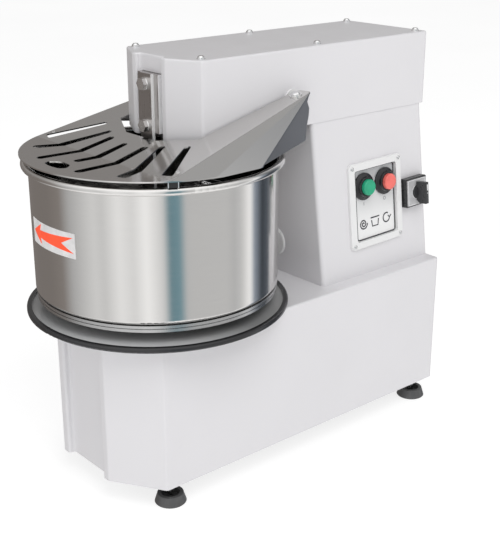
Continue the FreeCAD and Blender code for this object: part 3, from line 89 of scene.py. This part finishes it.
class Tree:
    """A node tree, with short ways to add and join its nodes."""

    def __init__(self, tree):
        self.tree = tree

    def node(self, kind, **settings):
        made = self.tree.nodes.new(kind)
        for key, value in settings.items():
            setattr(made, key, value)
        return made

    def link(self, output, target):
        self.tree.links.new(output, target)

    def math(self, operation, *values):
        """Arithmetic on numbers or outputs."""
        made = self.node("ShaderNodeMath", operation=operation)
        for socket, value in zip(made.inputs, values):
            if isinstance(value, (int, float)):
                socket.default_value = value
            else:
                self.link(value, socket)
        return made.outputs[0]

    def spread(self, value, low, high, start=0.0, end=1.0):
        """Map the range from start to end onto the range from low to high."""
        ranged = self.node("ShaderNodeMapRange")
        for socket, number in (("From Min", start), ("From Max", end), ("To Min", low),
                               ("To Max", high)):
            ranged.inputs[socket].default_value = number
        self.link(value, ranged.inputs["Value"])
        return ranged.outputs["Result"]

    def ramp(self, value, stops):
        """Colours along a value; a stop is a place from 0 to 1 and a colour."""
        ramp = self.node("ShaderNodeValToRGB")
        elements = ramp.color_ramp.elements
        while len(elements) < len(stops):
            elements.new(0.5)
        for element, (place, color) in zip(elements, stops):
            element.position = place
            element.color = (*color, 1.0)
        self.link(value, ramp.inputs["Fac"])
        return ramp.outputs["Color"]

    def mixed(self, share, first, second):
        """Blend two colours; each is an output or a plain colour."""
        mix = self.node("ShaderNodeMix", data_type="RGBA")
        self.link(share, mix.inputs["Factor"])
        for socket, color in (("A", first), ("B", second)):
            if isinstance(color, tuple):
                mix.inputs[socket].default_value = (*color, 1.0)
            else:
                self.link(color, mix.inputs[socket])
        return mix.outputs["Result"]


class Finish(Tree):
    """A procedural material: textures that drive the sockets of its shader."""

    def __init__(self, name, color, metallic=0.0, roughness=0.5, **sockets):
        self.material = bpy.data.materials.new(name)
        self.material.use_nodes = True
        super().__init__(self.material.node_tree)
        self.shader = self.tree.nodes["Principled BSDF"]
        self.shader.inputs["Base Color"].default_value = (*color, 1.0)
        self.shader.inputs["Metallic"].default_value = metallic
        self.shader.inputs["Roughness"].default_value = roughness
        for socket, value in sockets.items():
            self.shader.inputs[socket.replace("_", " ")].default_value = value
        self.position = self.node("ShaderNodeTexCoord").outputs["Object"]

    def drive(self, socket, output):
        self.link(output, self.shader.inputs[socket])

    def noise(self, scale, detail, roughness=0.5, vector=None):
        texture = self.node("ShaderNodeTexNoise")
        texture.inputs["Scale"].default_value = scale
        texture.inputs["Detail"].default_value = detail
        texture.inputs["Roughness"].default_value = roughness
        self.link(vector or self.position, texture.inputs["Vector"])
        return texture.outputs["Fac"]

    def grain(self, scales, detail=4.0, roughness=0.65):
        """Fine parallel marks: noise with its own scale along each axis."""
        mapping = self.node("ShaderNodeMapping")
        mapping.inputs["Scale"].default_value = scales
        self.link(self.position, mapping.inputs["Vector"])
        return self.noise(1.0, detail, roughness, mapping.outputs["Vector"])

    def vector_math(self, operation, vector, constant=(0.0, 0.0, 0.0)):
        made = self.node("ShaderNodeVectorMath", operation=operation)
        self.link(vector, made.inputs[0])
        made.inputs[1].default_value = constant
        return made.outputs

    def from_axis(self):
        """Distance from the bowl's axis."""
        offset = self.vector_math("SUBTRACT", self.position, (0.0, BOWL_AXIS_Y, 0.0))["Vector"]
        flat = self.vector_math("MULTIPLY", offset, (1.0, 1.0, 0.0))["Vector"]
        return self.vector_math("LENGTH", flat)["Value"]

    def facing(self, axis, start, end):
        """0 to 1 as the surface turns towards an axis of its own object."""
        normal = self.node("ShaderNodeSeparateXYZ")
        self.link(self.node("ShaderNodeTexCoord").outputs["Normal"], normal.inputs[0])
        return self.spread(normal.outputs[axis], 0.0, 1.0, start, end)

    def shades(self, value, dark, light, start=NOISE_LOW, end=NOISE_HIGH):
        return self.ramp(value, [(start, dark), (end, light)])

    def color(self, value, dark, light, start=NOISE_LOW, end=NOISE_HIGH):
        self.drive("Base Color", self.shades(value, dark, light, start, end))

    def rough(self, value, low, high):
        self.drive("Roughness", self.spread(value, low, high, NOISE_LOW, NOISE_HIGH))

    def bump(self, value, strength, distance):
        """Raise the surface by a texture, on top of the bumps that it already has."""
        bump = self.node("ShaderNodeBump")
        bump.inputs["Strength"].default_value = strength
        bump.inputs["Distance"].default_value = distance
        self.link(value, bump.inputs["Height"])
        previous = self.shader.inputs["Normal"].links
        if previous:
            self.link(previous[0].from_socket, bump.inputs["Normal"])
        self.drive("Normal", bump.outputs["Normal"])


# ---------------------------------------------------------------- kinds of finish
def painted(name, level, tint, roughness):
    """Smooth enamel or glossy plastic, with faint orange peel and handling marks."""
    finish = Finish(name, gray(level, tint), roughness=roughness, Coat_Weight=0.25,
                    Coat_Roughness=0.12)
    finish.color(finish.noise(7.0, 4.0), gray(level * 0.975, tint), gray(level, tint))
    finish.rough(finish.noise(38.0, 5.0), roughness - 0.05, roughness + 0.06)
    finish.bump(finish.noise(900.0, 2.0), 0.05, 0.0002)
    finish.bump(finish.noise(24.0, 1.0), 0.03, 0.002)
    return finish.material


def moulded(name, color, roughness, texture, strength, **sockets):
    """Plastic or rubber with a fine moulded texture and slight wear."""
    finish = Finish(name, color, roughness=roughness, **sockets)
    dark = tuple(c * 0.86 for c in color)
    light = tuple(min(1.0, c * 1.1) for c in color)
    finish.color(finish.noise(60.0, 4.0), dark, light)
    finish.rough(finish.noise(180.0, 4.0), roughness - 0.06, roughness + 0.08)
    finish.bump(finish.noise(texture, 2.0), strength, 0.00006)
    return finish.material


def printed(name, color, roughness, **sockets):
    """Ink or coloured film, nearly smooth."""
    return moulded(name, color, roughness, 900.0, 0.04, **sockets)


def turned_steel(name, level, roughness):
    """Steel with the fine rings that turning leaves about an upright axis."""
    finish = Finish(name, gray(level), metallic=1.0, roughness=roughness)
    rings = finish.grain((40.0, 40.0, 2500.0), 3.0, 0.6)
    finish.color(rings, gray(level * 0.88), gray(level * 1.06))
    finish.rough(rings, roughness - 0.04, roughness + 0.06)
    finish.bump(rings, 0.08, 0.00004)
    return finish.material


def cast(name, level):
    """Sand-cast metal: rough and uneven."""
    finish = Finish(name, gray(level), metallic=0.6, roughness=0.55)
    finish.color(finish.noise(90.0, 6.0), gray(level * 0.8), gray(level * 1.15))
    finish.rough(finish.noise(200.0, 4.0), 0.45, 0.7)
    finish.bump(finish.noise(700.0, 4.0), 0.4, 0.0004)
    return finish.material


def bar_stock(name, level, tint, roughness):
    """Flat bar: a dull ground face, and a painted highlight, pale and less metallic, on its side towards +X."""
    finish = Finish(name, gray(level, tint), metallic=1.0, roughness=roughness)
    lines = finish.grain((900.0, 900.0, 40.0))
    # painted highlight on the faces towards +X, the control side
    painted_highlight = finish.facing("X", 0.4, 0.7)
    face = finish.shades(lines, gray(level * 0.92, tint), gray(level, tint))
    finish.drive("Base Color", finish.mixed(painted_highlight, face, gray(0.95)))
    finish.drive("Metallic", finish.spread(painted_highlight, 1.0, 0.35))
    finish.rough(lines, roughness - 0.04, roughness + 0.06)
    finish.bump(lines, 0.05, 0.00005)
    return finish.material


def folded_sheet(name, level, tint, roughness, dark_reflection_tint):
    """Satin sheet, ground one way on its top, with a painted dark reflection on the folded back panels."""
    finish = Finish(name, gray(level, tint), metallic=1.0, roughness=roughness)
    lines = finish.grain((40.0, 1800.0, 40.0))
    top = finish.shades(lines, gray(level * 0.98, tint), gray(level * 1.02, tint))
    # painted dark reflection on the panels that face +Y
    back = finish.facing("Y", 0.3, 0.4)
    finish.drive("Base Color", finish.mixed(back, top, dark_reflection_tint))
    finish.drive("Metallic", finish.spread(back, 1.0, 0.6))
    finish.drive("Roughness", finish.spread(back, roughness, 0.42))
    finish.bump(lines, 0.01, 0.00005)
    return finish.material


def spun_bowl(name, level, tint, roughness, inner_radius, inner_shade_level):
    """Polished spun steel, with painted shade that darkens its inner face."""
    finish = Finish(name, gray(level, tint), metallic=1.0, roughness=roughness)
    rings = finish.grain((30.0, 30.0, 2400.0))
    outside = finish.shades(rings, gray(level * 0.97, tint), gray(level * 1.03, tint))
    # painted shade: the inner face of the wall is darker than the outer
    inner_shade = finish.spread(finish.from_axis(), 1.0, 0.0, inner_radius - 0.0002,
                           inner_radius + 0.0002)
    finish.drive("Base Color", finish.mixed(inner_shade, outside, gray(inner_shade_level, tint)))
    finish.rough(rings, roughness - 0.03, roughness + 0.05)
    finish.bump(rings, 0.03, 0.00005)
    return finish.material


def plated(name, level, roughness):
    """Zinc plate on fasteners: bright, with a slight cloudy bloom."""
    finish = Finish(name, gray(level), metallic=1.0, roughness=roughness)
    finish.color(finish.noise(120.0, 3.0), gray(level * 0.93), gray(level))
    finish.rough(finish.noise(300.0, 2.0), roughness - 0.04, roughness + 0.05)
    finish.bump(finish.noise(900.0, 2.0), 0.02, 0.00003)
    return finish.material


def ring_paint(name, lip_radius):
    """Graphite floor with a painted sheen that makes it paler towards the front right, and a black rolled lip."""
    sheen_direction = (0.62, -0.78, 0.0)
    finish = Finish(name, gray(0.05), roughness=0.3)
    lip = finish.spread(finish.from_axis(), 0.0, 1.0, lip_radius - 0.0004, lip_radius + 0.0004)
    forward = finish.vector_math("DOT_PRODUCT", finish.position, sheen_direction)["Value"]
    # painted sheen: the floor turns pale towards the front right
    pale = finish.spread(forward, 0.0, 1.0, 0.20, 0.34)
    cloud = finish.shades(finish.noise(14.0, 2.0), gray(0.34, COOL), gray(0.38))
    ground = finish.mixed(pale, cloud, gray(1.0, COOL))
    finish.drive("Base Color", finish.mixed(lip, ground, (0.020, 0.020, 0.022)))
    finish.drive("Metallic", finish.spread(lip, 0.15, 0.0))
    finish.rough(finish.noise(60.0, 2.0), 0.2, 0.26)
    finish.bump(finish.noise(200.0, 1.0), 0.01, 0.00003)
    return finish.material


def graded_metal(name, low, high, low_z, high_z):
    """Silver printed film that goes from one level to another up its height."""
    finish = Finish(name, gray(high), metallic=0.15, roughness=0.35)
    height = finish.node("ShaderNodeSeparateXYZ")
    finish.link(finish.position, height.inputs[0])
    shade = finish.spread(height.outputs["Z"], 0.0, 1.0, low_z, high_z)
    finish.color(shade, gray(low), gray(high, (0.98, 1.0, 1.02)), 0.0, 1.0)
    finish.rough(finish.noise(300.0, 4.0), 0.3, 0.4)
    finish.bump(finish.noise(900.0, 2.0), 0.03, 0.00005)
    return finish.material


# ---------------------------------------------------------------- finish of each CAD node
BOWL_WALL_MIDDLE = BOWL_RADIUS - 0.001
RING_LIP = 0.0074
ring_low, ring_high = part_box("drip_ring")
plate_low, plate_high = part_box("label_plate")
finishes = {
    "white_paint": painted("white_paint", 0.785, (0.995, 0.982, 1.008), 0.34),
    "white_plastic": painted("white_plastic", 0.86, PLAIN, 0.42),
    # the lid's last colour is the painted dark reflection on its back panels
    "lid_steel": folded_sheet("lid_steel", 0.66, WARM, 0.14, (0.12, 0.13, 0.148)),
    # the bowl's last number is the painted shade on its inner face
    "bowl_steel": spun_bowl("bowl_steel", 0.74, WARM, 0.12, BOWL_WALL_MIDDLE, 0.56),
    "bar_steel": bar_stock("bar_steel", 0.50, (1.0, 0.95, 0.93), 0.3),
    "bright_steel": turned_steel("bright_steel", 0.85, 0.12),
    "frame_steel": painted("frame_steel", 0.16, (1.0, 1.0, 1.02), 0.5),
    "cast_housing": cast("cast_housing", 0.14),
    "motor_alloy": cast("motor_alloy", 0.42),
    "bearing_steel": turned_steel("bearing_steel", 0.65, 0.18),
    "chain_steel": turned_steel("chain_steel", 0.25, 0.4),
    "black_ring": ring_paint("black_ring", (ring_high.x - ring_low.x) / 2 - RING_LIP),
    "black_plastic": moulded("black_plastic", (0.027, 0.028, 0.030), 0.28, 900.0, 0.03),
    "rubber": moulded("rubber", (0.088, 0.088, 0.09), 0.36, 900.0, 0.08),
    "green_cap": moulded("green_cap", (0.02, 0.40, 0.215), 0.35, 1200.0, 0.05),
    "red_cap": moulded("red_cap", (1.0, 0.19, 0.16), 0.35, 1200.0, 0.05),
    "label_film": moulded("label_film", (0.82, 0.81, 0.81), 0.4, 600.0, 0.03),
    "label_metal": graded_metal("label_metal", 0.92, 0.55, plate_low.z + 0.03,
                                plate_high.z - 0.01),
}
slot_of = {part["node"]: part["material_slot"] for part in frame["record"]["subparts"]}
for name, node in nodes.items():
    node.data.materials.clear()
    node.data.materials.append(finishes[slot_of[name]])

# nodes that look unlike the rest of their slot
own_finishes = [
    (plated("zinc", 0.85, 0.2), (
        "breaker_bar_bolts", "breaker_bar_washers", "head_cover_screws", "lid_screws",
        "bezel_screws", "rear_cover_screws", "foot_studs", "foot_nuts")),
    (plated("spring_clip", 0.95, 0.4), ("lid_bumper_clips",)),
    (turned_steel("turntable_steel", 0.55, 0.25), ("bowl_turntable",)),
    (moulded("black_rubber", (0.016, 0.016, 0.017), 0.5, 900.0, 0.1), ("lid_bumpers",)),
    (moulded("knob_plastic", (0.042, 0.043, 0.046), 0.3, 900.0, 0.03), ("rotary_switch_knob",)),
    (moulded("collar_plastic", (0.016, 0.016, 0.018), 0.2, 900.0, 0.02), ("button_collars",)),
    (printed("silver_plate", (0.52, 0.52, 0.53), 0.35), ("rotary_switch_face",)),
]
for material, names in own_finishes:
    for name in names:
        nodes[name].data.materials[0] = material

# ---------------------------------------------------------------- printed and applied detail
COLUMN_INSET, COLUMN_TALL = 23.7, 259.4  # mm; the column's side leans in over its height
SIDE_LEAN = math.atan2(COLUMN_INSET, COLUMN_TALL)
PANEL_LEAN = math.radians(1.2)
# dark ink for the pictograms, also used for the painted shadow line round the label window
dark_print_and_shadow = printed("dark_print_and_shadow", (0.045, 0.047, 0.055), 0.4)
faint_print = printed("faint_print", (0.30, 0.31, 0.33), 0.4)
white_print = printed("white_print", (0.85, 0.85, 0.86), 0.35)
# painted glow: the orange ink gives off a little light of its own
glowing_orange_print = printed("glowing_orange_print", (0.93, 0.085, 0.025), 0.45,
                       Emission_Color=(1.0, 0.085, 0.025, 1.0), Emission_Strength=0.28)


def side_frame(node, lift):
    """A frame on the control side, lifted off the node's middle by a number of millimetres.

    X runs across, Y up the column's side and Z straight out of it.
    """
    up = Vector((-math.sin(SIDE_LEAN), 0.0, math.cos(SIDE_LEAN)))
    out = Vector((math.cos(SIDE_LEAN), 0.0, math.sin(SIDE_LEAN)))
    across = Vector((0.0, 1.0, 0.0))
    low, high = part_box(node)
    axes = Matrix((across, up, out)).transposed().to_4x4()
    return (Matrix.Translation((low + high) / 2 + out * (lift * MM)) @ axes
            @ Matrix.Rotation(PANEL_LEAN, 4, "Z"))


def finished(piece, material, body):
    """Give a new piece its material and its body."""
    piece.data.materials.append(material)
    bpy.context.scene.collection.objects.link(piece)
    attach(piece, body)


def drawn_line(name, paths, place, width, material, body, closed=False, flat=0.4):
    """Raised lines along flat paths in millimetres, pressed nearly flat on their surface."""
    data = bpy.data.curves.new(name, "CURVE")
    data.dimensions = "3D"
    data.bevel_depth = width / 2 * MM
    data.bevel_resolution = 3
    data.use_fill_caps = True
    for path in paths:
        spline = data.splines.new("POLY")
        spline.points.add(len(path) - 1)
        spline.use_cyclic_u = closed
        for point, (x, y) in zip(spline.points, path):
            point.co = (x * MM, y * MM, 0.0, 1.0)
    piece = bpy.data.objects.new(name, data)
    piece.matrix_world = place @ Matrix.Diagonal((1.0, 1.0, flat, 1.0))
    finished(piece, material, body)


def arc(radius, start, end, steps=32, centre=(0.0, 0.0)):
    """Points along a circular arc; the angles are in degrees."""
    angles = [math.radians(start + (end - start) * i / steps) for i in range(steps + 1)]
    return [(centre[0] + radius * math.cos(a), centre[1] + radius * math.sin(a)) for a in angles]


def rounded_loop(half_wide, half_tall, corner):
    """A closed rectangle with rounded corners."""
    loop = []
    for start, sx, sy in ((0, 1, 1), (90, -1, 1), (180, -1, -1), (270, 1, -1)):
        centre = (sx * (half_wide - corner), sy * (half_tall - corner))
        loop += arc(corner, start, start + 90, 6, centre)
    return loop


def spiral(turns, inner, outer, steps=60):
    """Points along a flat spiral that winds outwards at an even pitch."""
    shares = [i / steps for i in range(steps + 1)]
    return [((inner + (outer - inner) * t) * math.cos(2 * math.pi * turns * t),
             (inner + (outer - inner) * t) * math.sin(2 * math.pi * turns * t)) for t in shares]


# the label plate: a painted shadow line in the gap round its window, a mark under each button, and three plain
# pictograms
GAP_SHADOW_SHIFT = 2.3
BUTTON_ACROSS = 24.2
PICTOGRAM_ACROSS, PICTOGRAM_DOWN = 27.0, 32.0
plate = side_frame("label_plate", 1.1)
# painted shadow: a dark line drawn in the gap round the plate's window
gap_shadow_loop = [(across + GAP_SHADOW_SHIFT, up) for across, up in rounded_loop(44.3, 57.2, 4.0)]
drawn_line("label_gap_shadow", [gap_shadow_loop], plate, 2.2, dark_print_and_shadow, "stand",
           closed=True, flat=0.7)
start_bar = [(-BUTTON_ACROSS, -1.4), (-BUTTON_ACROSS, 3.6)]
drawn_line("start_mark", [start_bar], plate, 1.1, faint_print, "stand")
stop_ring = arc(2.5, 0, 360, 24, (BUTTON_ACROSS, 1.1))
drawn_line("stop_mark", [stop_ring], plate, 1.0, faint_print, "stand", closed=True)
bowl_sketch = [[(-10.0, 6.5), (10.0, 6.5)], [(-8.2, 2.4), (-6.4, -8.0), (6.4, -8.0), (8.2, 2.4)]]
turning_sketch = [arc(7.6, 60, 360), [(3.9, 2.4), (7.6, -1.2), (11.2, 2.4)]]
for name, paths, across in (("spiral_pictogram", [spiral(2.0, 1.0, 9.0)], -PICTOGRAM_ACROSS),
                            ("bowl_pictogram", bowl_sketch, 0.0),
                            ("turning_pictogram", turning_sketch, PICTOGRAM_ACROSS)):
    moved = [[(x + across, y - PICTOGRAM_DOWN) for x, y in path] for path in paths]
    drawn_line(name, moved, plate, 2.3, dark_print_and_shadow, "stand")

# the rotary switch: white edging, a chromed ring round the boss, and the lever's pointer
face = side_frame("rotary_switch_face", 0.6)
lever_top = side_frame("rotary_switch_face", 23.5)
drawn_line("switch_edging", [rounded_loop(20.6, 20.6, 1.5)], face, 1.1, white_print, "stand",
           closed=True)
drawn_line("switch_ring", [arc(11.0, 0, 360, 48)], face, 1.8, finishes["bright_steel"], "stand",
           closed=True, flat=0.8)
drawn_line("lever_pointer", [[(0.0, 4.6), (0.0, 14.6)]], lever_top, 2.4, white_print,
           "rotary_knob", flat=0.3)
drawn_line("lever_dot", [[(0.0, -0.4), (0.0, 0.8)]], lever_top, 2.6, white_print,
           "rotary_knob", flat=0.3)

# the arrow printed on the bowl's sticker
ARROW_OUTLINE = [(-48.3, 18.8), (-21.7, 33.2), (-25.4, 23.4), (50.7, 29.4), (27.9, 18.4),
                 (51.5, 7.2), (-25.4, 12.6), (-21.7, 3.4)]
ARROW_SLICES = 36
STICKER_PROUD = 0.00055
FILM_THICKNESS = 0.00015


def wrapped_film(name, outline, low_z, radius):
    """A flat outline in millimetres, sliced upright and wrapped round the front of the bowl."""
    mesh = bmesh.new()
    mesh.faces.new([mesh.verts.new((x * MM, 0.0, z * MM)) for x, z in outline])
    left, right = min(x for x, _ in outline), max(x for x, _ in outline)
    for i in range(1, ARROW_SLICES):
        cut_x = (left + (right - left) * i / ARROW_SLICES) * MM
        bmesh.ops.bisect_plane(mesh, geom=mesh.verts[:] + mesh.edges[:] + mesh.faces[:],
                               plane_co=(cut_x, 0, 0), plane_no=(1, 0, 0))
    for vertex in mesh.verts:
        angle = vertex.co.x / radius
        vertex.co = (radius * math.sin(angle), BOWL_AXIS_Y - radius * math.cos(angle),
                     low_z + vertex.co.z)
    data = bpy.data.meshes.new(name)
    mesh.to_mesh(data)
    mesh.free()
    piece = bpy.data.objects.new(name, data)
    solid = piece.modifiers.new("film", "SOLIDIFY")
    solid.thickness = FILM_THICKNESS
    solid.offset = 0.0
    return piece


sticker_low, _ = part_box("bowl_arrow_label")
arrow = wrapped_film("bowl_arrow", ARROW_OUTLINE, sticker_low.z, BOWL_RADIUS + STICKER_PROUD)
finished(arrow, glowing_orange_print, "bowl")

# ---------------------------------------------------------------- studio
# A stop is a bearing in degrees from -Y towards +X, a level and a tint.
TAUPE, TEAL, NAVY = (1.0, 0.9, 0.84), (0.55, 0.95, 1.1), (0.8, 0.92, 1.1)
WALL_STOPS = [
    (-180, 0.13, NAVY), (-166, 0.60, PLAIN), (-150, 0.36, PLAIN), (-128, 0.20, TAUPE),
    (-60, 0.23, TAUPE), (-42, 0.27, TAUPE), (-30, 0.50, PLAIN), (-4, 0.80, PLAIN),
    (5, 0.72, PLAIN), (20, 1.0, PLAIN), (33, 0.86, PLAIN), (45, 1.12, PLAIN), (60, 0.78, PLAIN),
    (66, 0.30, TEAL), (75, 0.36, TEAL), (81, 0.63, PLAIN), (122, 0.64, PLAIN),
    (131, 0.54, COOL), (140, 0.74, PLAIN), (150, 1.15, PLAIN), (156, 0.38, NAVY),
    (168, 0.06, NAVY), (180, 0.13, NAVY)]
UPPER_STOPS = [
    (-180, 0.48, PLAIN), (-60, 0.52, PLAIN), (-25, 1.3, PLAIN), (130, 1.3, PLAIN),
    (150, 0.50, PLAIN), (180, 0.48, PLAIN)]
BELOW_LEVEL = 1.1
SOFT_LEVEL = 0.48
LAMP_TARGET = Vector((0.0, 0.0, 0.3))
FLOOR_REACH = 14.0


def studio_world(name):
    """What shiny surfaces mirror is a round of wall panels, with softer panels above them.

    Dull surfaces get even light, and the camera itself sees plain white.
    """
    world = bpy.data.worlds.new(name)
    bpy.context.scene.world = world
    world.use_nodes = True
    world.node_tree.nodes.clear()
    tree = Tree(world.node_tree)
    direction = tree.node("ShaderNodeSeparateXYZ")
    tree.link(tree.node("ShaderNodeTexCoord").outputs["Generated"], direction.inputs[0])
    x, y, z = direction.outputs
    bearing = tree.math("ARCTAN2", x, tree.math("MULTIPLY", y, -1.0))
    turn = tree.math("ADD", tree.math("DIVIDE", bearing, 2 * math.pi), 0.5)

    def panels(stops):
        return tree.ramp(turn, [((degrees + 180.0) / 360.0, gray(level, tint))
                                for degrees, level, tint in stops])

    def stacked(lower, upper, start, end):
        """Go from one colour to the other between two heights of the view direction."""
        return tree.mixed(tree.spread(z, 0.0, 1.0, start, end), lower, upper)

    def background(color):
        made = tree.node("ShaderNodeBackground")
        made.inputs["Color"].default_value = (*color, 1.0)
        return made

    mirrored = background(PLAIN)
    room = stacked(panels(WALL_STOPS), panels(UPPER_STOPS), start=0.0, end=0.9)
    tree.link(stacked(gray(BELOW_LEVEL), room, start=-0.85, end=-0.5), mirrored.inputs["Color"])
    rays = tree.node("ShaderNodeLightPath")
    shader = background(gray(SOFT_LEVEL)).outputs[0]
    for ray, other in (("Is Glossy Ray", mirrored), ("Is Camera Ray", background(PLAIN))):
        chosen = tree.node("ShaderNodeMixShader")
        tree.link(rays.outputs[ray], chosen.inputs["Fac"])
        tree.link(shader, chosen.inputs[1])
        tree.link(other.outputs[0], chosen.inputs[2])
        shader = chosen.outputs[0]
    tree.link(shader, tree.node("ShaderNodeOutputWorld").inputs["Surface"])


def soft_lamp(name, place, size, power):
    """A rectangular lamp that shiny surfaces don't mirror."""
    light = bpy.data.lights.new(name, "AREA")
    light.shape = "RECTANGLE"
    light.size, light.size_y = size
    light.energy = power
    pointed(name, light, place, LAMP_TARGET - Vector(place)).visible_glossy = False


def studio_floor(name, reach):
    """A plain pale floor that glows a little, and that shiny surfaces don't mirror."""
    data = bpy.data.meshes.new(name)
    corners = [(-reach, -reach, 0), (reach, -reach, 0), (reach, reach, 0), (-reach, reach, 0)]
    data.from_pydata(corners, [], [(0, 1, 2, 3)])
    floor = bpy.data.objects.new(name, data)
    bpy.context.scene.collection.objects.link(floor)
    floor.visible_glossy = False
    finish = Finish("floor_paint", gray(0.4), roughness=1.0, Specular_IOR_Level=0.0,
                    Emission_Color=(1.0, 1.0, 1.0, 1.0), Emission_Strength=0.76)
    finish.color(finish.noise(1.5, 2.0), gray(0.39), gray(0.41))
    data.materials.append(finish.material)
    return floor


studio_world("studio")
studio_floor("floor", FLOOR_REACH)
soft_lamp("key", (2.6, -0.8, 3.7), (2.6, 2.6), 75.0)
soft_lamp("front", (0.4, -3.4, 2.6), (2.4, 1.8), 13.0)
bpy.context.scene.view_settings.view_transform = "Standard"
